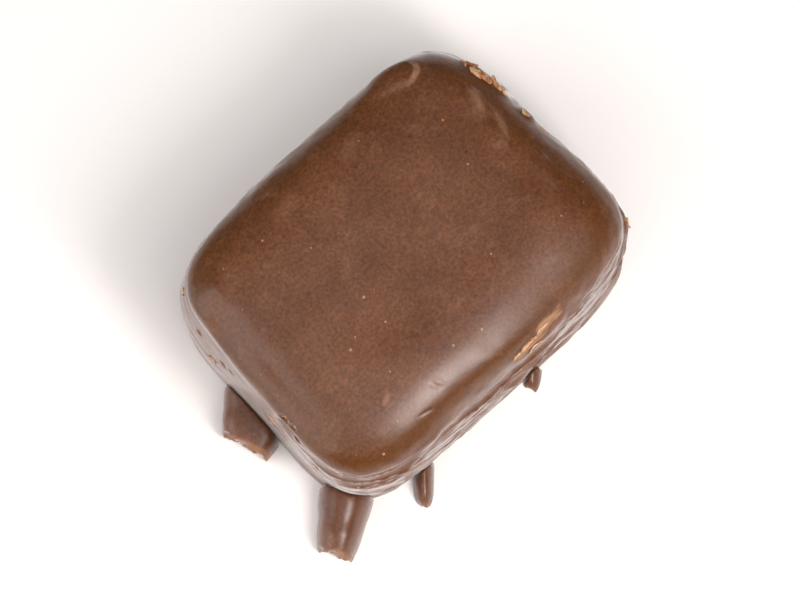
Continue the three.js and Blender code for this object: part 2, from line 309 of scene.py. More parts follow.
# Smears of paler chocolate, rubbed on in handling.
SMEARS = (
    Scuff((13.9, 4.9, 15.3), 70, (1.2, 0.45), 0.6),
    Scuff((13.8, 1.9, 15.2), 62, (1.4, 0.35), 0.5),
    Scuff((-4.4, 9.0, 15.6), 10, (1.3, 0.7), 0.22),
    Scuff((3.0, 9.2, 15.6), 20, (1.5, 0.7), 0.18),
    Scuff((-9.8, -8.5, 15.6), 25, (0.6, 0.22), 0.45),
)
FLAKE_GRID = (10, 4, 2)
FLAKE_PROUD = 0.02  # how far a flake's middle plane stands off the coat
FLAKE_TAPER = 0.55  # how much narrower it gets towards its ends
TAPER_POWERS = (1.6, 3.2)
FLAKE_THINNING = (0.5, 0.7)  # how much thinner it gets towards its ends and its sides
FLAKE_BENDS = (-0.3, 0.3)  # sideways at its ends, in quarters of its length
FLAKE_CURL = 0.16  # how far the ends lift off, as a share of its length
FLAKE_LIFTS = (-0.4, 1)  # how much of that curl one flake has
FLAKE_RAGGED = 0.14  # of its width
FLAKE_ROUGH = 0.12  # of its thickness
FLAKE_SWELLS = (0.9, 0.8, 0.6)  # along, across and in thickness
FLAKE_SHIFTS = (5, 9)  # far enough apart that ripples of one seed look unlike

# Studio lights: way from the chew, distance and size in metres, colour. The flat top mirrors the
# ceiling panel's far edge to the camera, the long near roll the key, and the end roll the card.
Softbox = namedtuple("Softbox", "name way distance size colour")
CEILING_PANEL = Softbox("ceiling panel", (-0.15, -0.3, 0.94), 0.6, (0.74, 0.74), (1, 0.96, 0.95))
KEY_SOFTBOX = Softbox("key softbox", (0.04, -0.6, 0.79), 0.5, (0.32, 0.34), (1, 0.95, 0.93))
KEY_CORE = Softbox("key core", (0.0, -0.69, 0.724), 0.12, (0.026, 0.064), (1, 0.94, 0.92))
SIDE_CARD = Softbox("side card", (-0.83, 0.33, 0.43), 0.6, (0.66, 0.58), (1, 0.95, 0.95))
ROOM_COLOUR = (1, 0.99, 0.98, 1)

# The camera, in metres but for its lens. It looks at a place between the body and its tails,
# which is off the target of the lights, towards the picture's foot.
TARGET = Vector((0, 0, 7 * MM))
VIEW_SHIFT = 3 * MM
LENS = 180
FAR_CLIP = 5
FLOOR_HALF = 1.5


# -------------------- form


def make_draws(seed):
    """The same draws each run: Lehmer's generator, its state kept between calls."""
    state = seed

    def draw(limits):
        nonlocal state
        state = state * DRAW_FACTOR % DRAW_PRIME
        low, high = limits
        return low + (high - low) * state / DRAW_PRIME

    return draw


def signed_power(values, power):
    return np.sign(values) * np.abs(values) ** power


def smooth_step(values, low, high):
    share = np.clip((values - low) / (high - low), 0, 1)
    return share * share * (3 - 2 * share)


def unit(vectors):
    return vectors / np.linalg.norm(vectors, axis=-1, keepdims=True)


def turn_round(points):
    """Each point's turn round the body from +X, in radians."""
    return np.arctan2(points[:, 1], points[:, 0])


def turns_apart(turn, other):
    """How far two turns are apart, the short way round."""
    return np.angle(np.exp(1j * (turn - other)))


def wander_at(turn, phase):
    """How far a line has drifted at one turn round the body, from -1 to 1."""
    return sum(height * np.sin(count * turn + phase) for count, height in WANDER_SWELLS)


def ripple_at(points, ripple):
    """A ripple's unevenness at points, mostly within its height."""
    draw = make_draws(ripple.seed)
    total = np.zeros(len(points))
    for _ in range(RIPPLE_SWELLS):
        way = unit(np.array([draw((-1, 1)), draw((-1, 1)), draw((-1, 1))]))
        pace = 2 * math.pi / ripple.length * draw(SWELL_PACES)
        total += np.sin(points @ (way * pace) + draw((0, 2 * math.pi)))
    return ripple.height * total / math.sqrt(RIPPLE_SWELLS)


class Pillow:
    """The block's plain form in millimetres, before its coat's unevenness."""

    def __init__(self, sizes):
        self.half = np.array([sizes.length, sizes.width]) / 2 / MM
        self.top_rise = sizes.height / MM - BELLY_HEIGHT

    def plan_reach(self, points):
        """How far out points stand as seen from above, where 1 is the belly's outline."""
        along = points[:, :2] / self.half
        return (np.abs(along) ** PLAN_SQUARENESS).sum(axis=1) ** (1 / PLAN_SQUARENESS)

    def measure(self, points):
        """How far out points stand (1 is the surface) and which way the surface faces there."""
        along = points[:, :2] / self.half
        plan = self.plan_reach(points)
        above = points[:, 2] > 0
        rise = np.where(above, self.top_rise, LOWER_REACH)
        squareness = np.where(above, TOP_SQUARENESS, LOWER_SQUARENESS)
        level = points[:, 2] / rise
        reach = (plan**squareness + np.abs(level) ** squareness) ** (1 / squareness)
        slope = np.maximum(plan, TINY) ** (squareness - PLAN_SQUARENESS)
        sideways = slope[:, None] * signed_power(along, PLAN_SQUARENESS - 1) / self.half
        normal = np.column_stack([sideways, signed_power(level, squareness - 1) / rise])
        return reach, unit(normal)

    def surface(self, points):
        """The surface on the rays from the belly's middle through points, and its normals."""
        reach, _ = self.measure(points)
        place = points / reach[:, None]
        _, normal = self.measure(place)
        return place + UP * BELLY_HEIGHT, normal

    def spot(self, at):
        """One surface place and normal, on the ray through a place in the part's frame."""
        place, normal = self.surface(np.array([at], float) - UP * BELLY_HEIGHT)
        return place[0], normal[0]


def heading(turn):
    angle = math.radians(turn)
    return np.array([math.cos(angle), math.sin(angle), 0.0])


def along_surface(run, normal):
    return unit(run - normal * run.dot(normal))


def place_in(points, place, normal, run, half):
    """Where points lie from a form's middle, in its half sizes: along it, across and off it."""
    along = along_surface(run, normal)
    offset = points - place
    across = np.cross(normal, along)
    return offset @ along / half[0], offset @ across / half[1], offset @ normal / half[1]


def bump_weight(points, place, normal, run, half):
    """1 at the middle of a long soft bump, falling to 0: flat along its middle, round across."""
    lengthwise, crosswise, depthwise = place_in(points, place, normal, run, half)
    return np.exp(-(lengthwise**4) - crosswise**2 - (depthwise / 2) ** 2)


def spot_weight(points, pillow, spot):
    """The soft bump of one mark or scuff."""
    return bump_weight(points, *pillow.spot(spot.at), heading(spot.turn), spot.half)


def turned(vector, axis, angle):
    """A vector at right angles to an axis, turned about it."""
    return vector * math.cos(angle) + np.cross(axis, vector) * math.sin(angle)


def draw_shreds(pillow, shreds):
    """Yields place, normal, run, half sizes and height of shreds spread round the walls."""
    draw = make_draws(shreds.seed)
    length, width = 2 * pillow.half
    for index in range(shreds.count):
        turn = index * GOLDEN_TURN
        outward = np.array([[length * math.cos(turn), width * math.sin(turn), 0]])
        outward /= pillow.measure(outward)[0]
        outward[0, 2] = draw(shreds.level) - BELLY_HEIGHT
        place, normal = (values[0] for values in pillow.surface(outward))
        level = unit(np.cross(UP, normal))
        run = turned(level, normal, draw((-shreds.slant, shreds.slant)))
        half = (draw(shreds.length), draw(shreds.width))
        yield place, normal, run, half, draw(shreds.height)


def stillness(points):
    """1 where the coat keeps all its fine unevenness, and less at its calm end."""
    apart = turns_apart(turn_round(points), CALM_TURN) / CALM_SPREAD
    return 1 - CALM * np.exp(-(apart**4))


def bump_relief(points, pillow):
    total = np.zeros(len(points))
    for shreds in (WALL_SHREDS, FINE_SHREDS):
        for place, normal, run, half, height in draw_shreds(pillow, shreds):
            total += height * bump_weight(points, place, normal, run, half)
    total *= stillness(points)
    for mark in MARKS + FINE_MARKS:
        total += mark.height * spot_weight(points, pillow, mark)
    return total


def pit_relief(points, pillow):
    """Round pits with a low rim pushed up round them."""
    total = np.zeros(len(points))
    for pit in PITS:
        place, _ = pillow.spot(pit.at)
        away = np.linalg.norm(points - place, axis=1) / pit.radius
        bowl = np.exp(-(away**4))
        rim = np.exp(-(((away - PIT_RIM_AT) / PIT_RIM_WIDTH) ** 2))
        total += pit.depth * (PIT_RIM * rim - bowl)
    return total


def wave_relief(points):
    x, y, z = points.T
    total = np.zeros(len(points))
    for wave in WAVES:
        pace = 2 * math.pi / wave.length
        sideways = np.sin(pace * x + wave.phase) * np.cos(pace * y + wave.phase)
        total += wave.height * (sideways + np.sin(pace * (z + x / 2) + wave.phase))
    return total


def ledge_relief(points, wallness):
    turn = turn_round(points)
    total = np.zeros(len(points))
    for ledge in LEDGES:
        line = ledge.level + ledge.wander * wander_at(turn, ledge.phase)
        below = 1 - smooth_step(points[:, 2], line - ledge.span / 2, line + ledge.span / 2)
        strength = 0.5 + 0.5 * np.sin(2 * turn - ledge.phase) * np.cos(turn + ledge.phase)
        total += ledge.step * strength * below * wallness
    return total * stillness(points)


def brow_relief(points, pillow):
    """At the calm end, fills the wall out to the belly's reach, up to the brow."""
    gap = (1 - pillow.plan_reach(points)) * pillow.half[0]
    level = points[:, 2] + BROW_WANDER * wander_at(turn_round(points), BROW_PHASE)
    reach = 1 - smooth_step(level, *BROW_LEVEL)
    above_belly = points[:, 2] > BELLY_HEIGHT
    return gap * reach * above_belly * (1 - stillness(points)) / CALM


def draw_drapes(drapes):
    """Yields drapes spread round the walls."""
    draw = make_draws(drapes.seed)
    for index in range(drapes.count):
        yield Drape(
            level=draw(drapes.level),
            wander=draw(drapes.wander),
            phase=draw((0, 2 * math.pi)),
            turn=index * GOLDEN_TURN,
            spread=draw(drapes.spread),
            width=draw(drapes.width),
            height=draw(drapes.height),
        )


def drape_relief(points, wallness):
    """Drapes keep one width all along, and lips have one above their line and one below."""
    turn = turn_round(points)
    still = stillness(points)
    total = np.zeros(len(points))
    for drape in (*DRAPES, *draw_drapes(FINE_DRAPES), *LIPS):
        line = drape.level + drape.wander * wander_at(DRAPE_PACE * turn, drape.phase)
        apart = turns_apart(turn, drape.turn) / drape.spread
        over = points[:, 2] - line
        if isinstance(drape, Lip):
            width = np.where(over > 0, drape.above, drape.below)
            height = drape.height
        else:
            width = drape.width
            height = drape.height * still
        total += height * np.exp(-((over / width) ** 2) - apart**4) * wallness
    return total


def measure_fold(points, pillow):
    """How far points lie behind the tongue's round front in mm, and how much it rises there."""
    spot = pillow.spot(FOLD_AT)
    lengthwise, crosswise, depthwise = place_in(points, *spot, heading(FOLD_RUN), FOLD_HALF)
    front = (1 - lengthwise) * FOLD_HALF[0] - FOLD_ROUND * crosswise**2
    rise = smooth_step(lengthwise, *FOLD_RISE) * np.exp(-(crosswise**6) - depthwise**4)
    return front, rise


def fold_relief(points, pillow):
    """The tongue rises slowly along its run and drops steeply at its front."""
    front, rise = measure_fold(points, pillow)
    return FOLD_HEIGHT * rise * smooth_step(front, 0, FOLD_FRONT)


def foot_spread(points, pillow):
    """How far the foot and the skirt spread sideways."""
    z = points[:, 2]
    turn = turn_round(points[:, :2] / pillow.half)
    foot = FOOT_PROUD * (1 - FOOT_WANDER + FOOT_WANDER * wander_at(turn, FOOT_PHASE))
    foot *= FOOT_KEPT + (1 - FOOT_KEPT) * stillness(points)
    skirt = SKIRT_PROUD * np.maximum(np.cos(turn - SKIRT_TURN), 0) ** SKIRT_NARROWNESS
    return foot * np.exp(-((z / FOOT_HEIGHT) ** 2)) + skirt * np.exp(-((z / SKIRT_HEIGHT) ** 2))


def coat_surface(points, pillow):
    """The finished coat on the rays through points: places and the plain form's normals."""
    place, normal = pillow.surface(points)
    wallness = np.hypot(normal[:, 0], normal[:, 1])
    relief = bump_relief(place, pillow) + wave_relief(place) + ledge_relief(place, wallness)
    relief += pit_relief(place, pillow) + drape_relief(place, wallness)
    relief += fold_relief(place, pillow) + brow_relief(place, pillow)
    # The wall's ripple leaves the rolls smooth, so that their highlights stay whole.
    relief += wallness**4 * stillness(place) * ripple_at(place, WALL_RIPPLE)
    relief += ripple_at(place, SKIN_RIPPLE)
    sideways = normal * [1, 1, 0] * foot_spread(place, pillow)[:, None]
    surface = place + normal * relief[:, None] + sideways
    surface[:, 0] *= 1 - SIDE_TAPER * surface[:, 1] / pillow.half[1]
    return surface, normal


# -------------------- meshes


def block_grid(cells):
    """A closed block from -1 to 1 each way, its faces cut into even cells."""
    block = bmesh.new()
    bmesh.ops.create_cube(block, size=2)
    for axis, count in enumerate(cells):
        edges = [e for e in block.edges if abs(e.verts[0].co[axis] - e.verts[1].co[axis]) > 1]
        bmesh.ops.subdivide_edges(block, edges=edges, cuts=count - 1, use_grid_fill=True)
    return block


def get_points(vertices):
    """The places of a mesh's or a bmesh's vertices, one row each."""
    return np.array([vertex.co for vertex in vertices], float)


def set_points(vertices, points):
    for vertex, point in zip(vertices, points):
        vertex.co = point


def new_object(name, shape):
    """Turns a bmesh into an object, and frees it."""
    mesh = bpy.data.meshes.new(name)
    shape.to_mesh(mesh)
    shape.free()
    piece = bpy.data.objects.new(name, mesh)
    bpy.context.scene.collection.objects.link(piece)
    return piece


def make_body(pillow):
    block = block_grid(BODY_GRID)
    points = get_points(block.verts)
    eased = np.sin(points * GRID_EASE) / math.sin(GRID_EASE)
    rise = np.where(points[:, 2] > 0, pillow.top_rise, BELLY_HEIGHT + UNDERCUT)
    rays = np.column_stack([eased[:, :2] * pillow.half, points[:, 2] * rise])
    surface, _ = coat_surface(rays, pillow)
    set_points(block.verts, surface)
    return new_object("body", block)


def make_tail(tail):
    """One tail: a block whose section becomes an arch, drawn out from root to broken tip."""
    block = block_grid(TAIL_GRID)
    across, way, up = get_points(block.verts).T
    way = (way + 1) / 2
    size = np.maximum(np.abs(across), np.abs(up))
    power = tail.squareness
    norm = (np.abs(across) ** power + np.abs(up) ** power) ** (1 / power)
    share = np.where(norm > 0, size / np.maximum(norm, TINY), 0)
    across, up = across * share, up * share

    to_tip = (1 - way) * TAIL_LENGTH
    opened = np.clip(to_tip / TIP_TAPER, 0, 1)
    closing = tail.blunt + (1 - tail.blunt) * np.sqrt(opened * (2 - opened))
    scale = closing * (1 + TAIL_LUMPS * np.sin(LUMP_PACE * to_tip + tail.tip[0]))
    width, height = (root + (tip - root) * way for root, tip in zip(tail.root_size, tail.tip_size))
    side = across / 2 * scale * width
    top = -UNDERCUT + np.maximum(up, 0) * (scale * height + UNDERCUT) + np.minimum(up, 0)

    broken = smooth_step(way, 1 - BREAK_LENGTH / TAIL_LENGTH, 1)
    grain = np.column_stack([side, top, np.full(len(side), tail.tip[0])])
    ragged = RAGGED_PACES[0] * side + RAGGED_PACES[1] * top
    jut = tail.slant * side + TIP_RAGGED * np.sin(ragged)
    jut += tail.lobes * np.abs(np.sin(LOBE_PACE * side)) - TIP_HOLLOW * (1 - size**4)
    jut += ripple_at(grain, TIP_GRIT)
    along = heading(tail.heading)
    aside = np.cross(UP, along)
    points = [*tail.tip, 0.0] + np.outer(broken * jut - to_tip, along) + np.outer(side, aside)
    points[:, 2] = top
    skin = unit(np.outer(across, aside) + np.outer(up, UP) + TINY)
    points += skin * (ripple_at(points, TAIL_RIPPLE) * size * (1 - broken))[:, None]
    set_points(block.verts, points)
    return new_object("tail", block)


def unite(body, others):
    """Joins solids into one bmesh, and removes their objects."""
    collection = bpy.data.collections.new("joined solids")
    bpy.context.scene.collection.children.link(collection)
    for other in others:
        collection.objects.link(other)
    union = body.modifiers.new("union", "BOOLEAN")
    union.operation = "UNION"
    union.operand_type = "COLLECTION"
    union.collection = collection
    union.solver = "MANIFOLD"
    shape = bmesh.new()
    shape.from_object(body, bpy.context.evaluated_depsgraph_get())
    for solid in (body, *others):
        bpy.data.meshes.remove(solid.data)
    bpy.data.collections.remove(collection)
    return shape


def tree_of(points):
    tree = KDTree(len(points))
    for index, point in enumerate(points):
        tree.insert(point, index)
    tree.balance()
    return tree


def soften_seams(shape, known):
    """Blends the tails into the body: new vertices mark the seams, and all near them relax."""
    points = get_points(shape.verts)
    before = tree_of(known)
    fresh = [point for point in points if before.find(point)[2] > SEAM_SLACK]
    seam = tree_of(fresh)
    away = np.array([seam.find(point)[2] for point in points])
    pull = np.clip(1 - away / FILLET, 0, 1)
    near = np.array([[v.index for v in edge.verts] for edge in shape.edges])
    near = near[(pull[near] > 0).any(axis=1)]
    starts, ends = np.concatenate([near, near[:, ::-1]]).T
    count = np.maximum(np.bincount(starts, minlength=len(points)), 1)
    for _ in range(FILLET_ROUNDS):
        sums = [np.bincount(starts, points[ends, axis], len(points)) for axis in range(3)]
        middle = np.column_stack(sums) / count[:, None]
        points += (middle - points) * (FILLET_PULL * pull)[:, None]
    set_points(shape.verts, points)


def cut_flat(shape):
    """Cuts off what is below the floor and closes the underside flat."""
    geometry = shape.verts[:] + shape.edges[:] + shape.faces[:]
    floor = {"plane_co": (0, 0, 0), "plane_no": (0, 0, 1)}
    cut = bmesh.ops.bisect_plane(shape, geom=geometry, dist=CUT_SLACK, clear_inner=True, **floor)
    rim = [item for item in cut["geom_cut"] if isinstance(item, bmesh.types.BMEdge)]
    bmesh.ops.holes_fill(shape, edges=rim)
    bmesh.ops.recalc_face_normals(shape, faces=shape.faces)


def finish_piece(name, shape, material):
    """Makes a bmesh in millimetres a finished piece in metres, riding on the part."""
    bmesh.ops.scale(shape, vec=(MM, MM, MM), verts=shape.verts)
    piece = new_object(name, shape)
    piece.data.shade_smooth()
    piece.data.set_sharp_from_angle(angle=SHARP_EDGE)
    piece.data.materials.append(material)
    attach(piece, "root")
    return piece


def add_coat_paint(piece, pillow):
    """`thin` is 1 over the rolled edges, where the coat runs thinner and its colour is painted
    darker as shade, `steep` on the walls, `worn` where it is scuffed, and `broken` at the tails'
    tips and the smears, and along the fold's front, where its pale band is a painted highlight."""
    mesh = piece.data
    points = get_points(mesh.vertices) / MM
    normals = np.array([vertex.normal for vertex in mesh.vertices])
    rise = np.clip(normals[:, 2], 0, 1)
    roll = 4 * rise**2 * (1 - rise**2)  # 1 at 45 degrees
    # Painted shade: the upper rolls, picked by the tilt of their normals, take a darker colour. The
    # coat also runs thinner and warmer there.
    thin = roll * smooth_step(points[:, 2], *THIN_COAT_AND_SHADE_LEVEL)
    steep = 1 - smooth_step(rise, *STEEP_RISE)

    front, rise = measure_fold(points, pillow)
    worn = np.zeros(len(points))
    # The pale band along the fold's steep front is a painted highlight, laid in with the break
    # paint.
    broken = rise * np.exp(-(((front - FOLD_FRONT / 2) / FOLD_FRONT) ** 2))
    for mask, scuffs in ((worn, SCUFFS), (broken, SMEARS)):
        for scuff in scuffs:
            np.maximum(mask, scuff.depth * spot_weight(points, pillow, scuff), out=mask)
    for tail in TAILS:
        along = heading(tail.heading)
        offset = points - [*tail.tip, 0.0]
        onward = offset @ along
        width, height = tail.tip_size
        aside = 2 * np.abs(offset @ np.cross(UP, along)) / width
        aloft = points[:, 2] / height
        near = (aside < BREAK_REACH[0]) & (aloft < BREAK_REACH[1]) & (onward < width)
        edge = smooth_step(np.maximum(aside, aloft), *BREAK_EDGE)
        pale = BREAK_MIDDLE + (1 - BREAK_MIDDLE) * edge
        broken = np.maximum(broken, smooth_step(onward, -BREAK_RIM, 0) * pale * near)
    for name, values in zip(COAT_PAINT, (thin, steep, worn, broken)):
        attribute = mesh.attributes.new(name, "FLOAT", "POINT")
        attribute.data.foreach_set("value", np.asarray(values, np.float32))


def add_flake(shape, pillow, place, normal, run, sizes, draw):
    """One shred of coconut: a thin curled blade laid on the coat, tapered and torn at its ends."""
    length, width, thickness = sizes
    block = block_grid(FLAKE_GRID)
    x, y, z = get_points(block.verts).T
    seed = int(draw((1, DRAW_PRIME - 1)))
    taper = 1 - FLAKE_TAPER * np.abs(x) ** draw(TAPER_POWERS)
    bend = draw(FLAKE_BENDS) * length
    lift = draw(FLAKE_LIFTS) * FLAKE_CURL * length * np.abs(x) ** 3
    rough = np.column_stack([x * length, y * width, z + y])
    heights = (FLAKE_RAGGED * width, FLAKE_RAGGED * width, FLAKE_ROUGH * thickness)
    ragged_x, ragged_y, ragged_z = (
        ripple_at(rough + shift, Ripple(height, swell, seed))
        for shift, height, swell in zip((0, *FLAKE_SHIFTS), heights, FLAKE_SWELLS)
    )
    flat_x = x * length / 2 + ragged_x
    flat_y = y * width / 2 * taper + bend * x**2 / 4 + ragged_y
    edge = (1 - FLAKE_THINNING[1] * y**4) * (1 - FLAKE_THINNING[0] * x**6)
    up = z * thickness / 2 * edge + FLAKE_PROUD + lift + ragged_z

    along = along_surface(run, normal)
    side = np.cross(normal, along)
    rays = place + np.outer(flat_x, along) + np.outer(flat_y, side) - UP * BELLY_HEIGHT
    surface, facing = coat_surface(rays, pillow)
    set_points(block.verts, surface + facing * up[:, None])
    mesh = bpy.data.meshes.new("flake")
    block.to_mesh(mesh)
    block.free()
    shape.from_mesh(mesh)
    bpy.data.meshes.remove(mesh)


# -------------------- materials

# A colour mix's sockets, which go by number, because other kinds of mix have the same names.
MIX_FACTOR, MIX_A, MIX_B, MIX_RESULT = 0, 6, 7, 2

# Patches: size in mm, detail and roughness, and which part of the noise gives which shares. The
# grain is of milk powder and sugar, drawn coarser than the real one, so that it shows.
Patches = namedtuple("Patches", "size detail roughness noise share")
FAT_CLOUDS = Patches(5.5, 3, 0.55, (0.35, 0.65), (0, 1))
BLOOM_SMUDGES = Patches(1.9, 5, 0.72, (0.54, 0.72), (0, 0.42))
MILK_GRAIN = Patches(0.3, 2, 0.65, (0.3, 0.7), (0.7, 1.3))
CHOCOLATE_STAINS = Patches(0.7, 4, 0.65, (0.48, 0.62), (0, 1))
SMUDGE_DULLING = 0.12  # how much rougher a smudge is, and a break or scuff
RUB_DULLING = 0.5


def linear(colour):
    """Turns an sRGB hex colour to a linear one."""
    shares = [int(colour[start : start + 2], 16) / 255 for start in (1, 3, 5)]
    return [s / 12.92 if s <= 0.04045 else ((s + 0.055) / 1.055) ** 2.4 for s in shares]


def new_material(name):
    material = bpy.data.materials.new(name)
    material.use_nodes = True
    material.node_tree.nodes.clear()
    return material, material.node_tree


def add_node(tree, kind, sockets=None, **fields):
    """Adds a shader node with its fields, its inputs set or linked, and returns its outputs."""
    node = tree.nodes.new("ShaderNode" + kind)
    for field, value in fields.items():
        setattr(node, field, value)
    for socket, value in (sockets or {}).items():
        if isinstance(value, bpy.types.NodeSocket):
            tree.links.new(value, node.inputs[socket])
        else:
            node.inputs[socket].default_value = value
    return node.outputs


def per_metre(size):
    """A texture's scale for features about `size` millimetres apart."""
    return 1 / (size * MM)


def add_patches(tree, place, patches):
    """Ragged patches all over a piece: their noise, and the share that it is turned to."""
    scale = per_metre(patches.size)
    ragged = {"Scale": scale, "Detail": patches.detail, "Roughness": patches.roughness}
    noise = add_node(tree, "TexNoise", {"Vector": place, **ragged})["Fac"]
    names = ("From Min", "From Max", "To Min", "To Max")
    limits = dict(zip(names, (*patches.noise, *patches.share)))
    share = add_node(tree, "MapRange", {"Value": noise, **limits})["Result"]
    return noise, share


def lay_over(tree, colour, layers):
    """Lays colours over one colour in order, each by its share."""
    for share, layer in layers:
        sockets = {MIX_FACTOR: share, MIX_A: colour, MIX_B: (*layer, 1)}
        colour = add_node(tree, "Mix", sockets, data_type="RGBA")[MIX_RESULT]
    return colour


def finish_material(material, surface):
    """Gives a material its surface, and returns it."""
    tree = material.node_tree
    shader = add_node(tree, "BsdfPrincipled", surface)["BSDF"]
    add_node(tree, "OutputMaterial", {"Surface": shader})
    return material


def milk_chocolate(finish):
    """Milk chocolate, poured over and blown level, then set with no polish: a satin skin that
    mirrors the room as a soft veil, faintly mottled by milk fat, with pale milk flecks, smudges
    and dark pores. Over rolled edges the coat runs thinner and warmer, and its colour there is
    also painted darker as shade. Where it is broken or worn it is paler and dull, and the pale
    band along the fold's front is a painted highlight."""
    material, tree = new_material("poured milk chocolate")
    place = add_node(tree, "TexCoord")["Object"]
    thin, steep, worn, broken = (
        add_node(tree, "Attribute", attribute_name=name)["Fac"] for name in COAT_PAINT
    )
    _, cloud_share = add_patches(tree, place, FAT_CLOUDS)
    _, smudge_share = add_patches(tree, place, BLOOM_SMUDGES)
    grain, grain_share = add_patches(tree, place, MILK_GRAIN)
    # Over the rolls the colour is laid darker: painted shade, together with the thinner coat's
    # warmth.
    layers = ((cloud_share, finish.cloud), (thin, finish.thin), (smudge_share, finish.smudge))
    plain = lay_over(tree, (*finish.milk, 1), layers)
    brightened = {0: plain, "Scale": grain_share}
    grained = add_node(tree, "VectorMath", brightened, operation="SCALE")["Vector"]

    # Pale flecks, one in each cell of about 1.3 mm, up to 0.3 mm across.
    flecks = add_node(tree, "TexVoronoi", {"Vector": place, "Scale": per_metre(1.3)})
    draw = add_node(tree, "SeparateColor", {"Color": flecks["Color"]})["Red"]
    fleck_sizes = {"Value": draw, "From Min": 0.4, "To Max": 0.12}
    reach = add_node(tree, "MapRange", fleck_sizes)["Result"]
    reached = {0: reach, 1: flecks["Distance"]}
    inside = add_node(tree, "Math", reached, operation="SUBTRACT")["Value"]
    fleck_edge = {"Value": inside, "From Max": 0.04, "To Max": 0.75}
    fleck_share = add_node(tree, "MapRange", fleck_edge)["Result"]

    # Dark pores, one in each cell of about 2.6 mm.
    pores = add_node(tree, "TexVoronoi", {"Vector": place, "Scale": per_metre(2.6)})
    away = pores["Distance"]
    pore_edge = {"Value": away, "From Min": 0.03, "From Max": 0.07, "To Min": 0.6, "To Max": 0}
    pore_share = add_node(tree, "MapRange", pore_edge)["Result"]

    # Broken chocolate is paler, in a grainy edge. The same pale paint lies along the fold's front
    # as a painted highlight.
    grainy_edge = {0: broken, 1: grain_share}
    break_share = add_node(tree, "Math", grainy_edge, operation="MULTIPLY")["Value"]

    # Coconut shows through worn coat in streaks about 0.5 mm wide, drawn out along the block.
    drawn_out = {"Vector": place, "Scale": (0.3, 1.0, 1.3)}
    streaked = add_node(tree, "Mapping", drawn_out)["Vector"]
    tearing = {"Vector": streaked, "Scale": per_metre(0.5), "Detail": 4, "Roughness": 0.65}
    tears = add_node(tree, "TexNoise", tearing)["Fac"]
    torn = add_node(tree, "Math", {0: tears, 1: worn}, operation="MULTIPLY")["Value"]
    torn_edge = {"Value": torn, "From Min": 0.24, "From Max": 0.44, "To Max": 0.8}
    torn_share = add_node(tree, "MapRange", torn_edge)["Result"]

    layers = (
        (fleck_share, finish.fleck),
        (pore_share, finish.pore),
        (break_share, finish.broken),
        (torn_share, finish.showing),
    )
    colour = lay_over(tree, grained, layers)

    # The skin is glossier on the walls, which no blower reached, and duller over smudges, breaks
    # and scuffs.
    walls = {"Value": steep, "To Min": finish.roughness, "To Max": finish.wall_roughness}
    roughness = add_node(tree, "MapRange", walls)["Result"]
    rubbed = add_node(tree, "Math", {0: worn, 1: broken}, operation="MAXIMUM")["Value"]
    for share, dulling in ((smudge_share, SMUDGE_DULLING), (rubbed, RUB_DULLING)):
        sockets = {0: share, 1: dulling, 2: roughness}
        roughness = add_node(tree, "Math", sockets, operation="MULTIPLY_ADD")["Value"]

    grain_relief = {"Strength": 0.35, "Distance": 0.02 * MM, "Height": grain}
    grainy = add_node(tree, "Bump", grain_relief)["Normal"]
    fleck_relief = {"Strength": 0.6, "Distance": 0.03 * MM, "Height": fleck_share, "Normal": grainy}
    surface = {
        "Base Color": colour,
        "Roughness": roughness,
        "IOR": 1.5,
        "Subsurface Weight": 0.12,
        "Subsurface Radius": (1.0, 0.45, 0.25),
        "Subsurface Scale": 0.5 * MM,
        "Sheen Weight": finish.bloom,
        "Sheen Roughness": 0.3,
        "Normal": add_node(tree, "Bump", fleck_relief)["Normal"],
    }
    return finish_material(material, surface)


def shredded_coconut(finish):
    """Desiccated coconut, dried and shredded: dry fibrous flesh, cream at its clean faces and
    stained with chocolate in patches, with a fine relief of fibres."""
    material, tree = new_material("shredded coconut")
    place = add_node(tree, "TexCoord")["Object"]
    _, stain_share = add_patches(tree, place, CHOCOLATE_STAINS)
    fibres = {"Vector": place, "Scale": per_metre(0.16), "Detail": 3, "Roughness": 0.7}
    height = add_node(tree, "TexNoise", fibres)["Fac"]
    relief = {"Strength": 0.7, "Distance": 0.05 * MM, "Height": height}
    surface = {
        "Base Color": lay_over(tree, (*finish.flesh, 1), ((stain_share, finish.stained),)),
        "Roughness": 0.55,
        "IOR": 1.45,
        "Subsurface Weight": 0.25,
        "Subsurface Radius": (1.0, 0.7, 0.45),
        "Subsurface Scale": 0.4 * MM,
        "Normal": add_node(tree, "Bump", relief)["Normal"],
    }
    return finish_material(material, surface)


def matt_paint(name, colour):
    """Matt wall paint, rolled onto a studio sweep: even and without gloss."""
    material, _ = new_material(name)
    surface = {"Base Color": (*colour, 1), "Roughness": 0.9, "Specular IOR Level": 0.2}
    return finish_material(material, surface)


# -------------------- settings


LENGTH = {"unit": "LENGTH", "subtype": "DISTANCE"}
ANGLE = {"subtype": "ANGLE"}
SHARE = {"min": 0, "max": 1}


def setting(name, description, default, kind=FloatProperty, **limits):
    return kind(name=name, description=description, default=default, **limits)


def colour_setting(name, description, colour):
    colour = linear(colour)
    return setting(name, description, colour, FloatVectorProperty, subtype="COLOR", **SHARE)


class ChewSizes(bpy.types.PropertyGroup):
    """The block's outer sizes."""

    length: setting("Length", "Body from end to end, along X", 34 * MM, **LENGTH)
    width: setting("Width", "Body from side to side, along Y", 26.6 * MM, **LENGTH)
    height: setting("Height", "Body from underside to top", round(CAD_BOX[1].z, 3), **LENGTH)
    flake_seed: setting("Flake seed", "Seed of the wall flakes", 29, IntProperty)


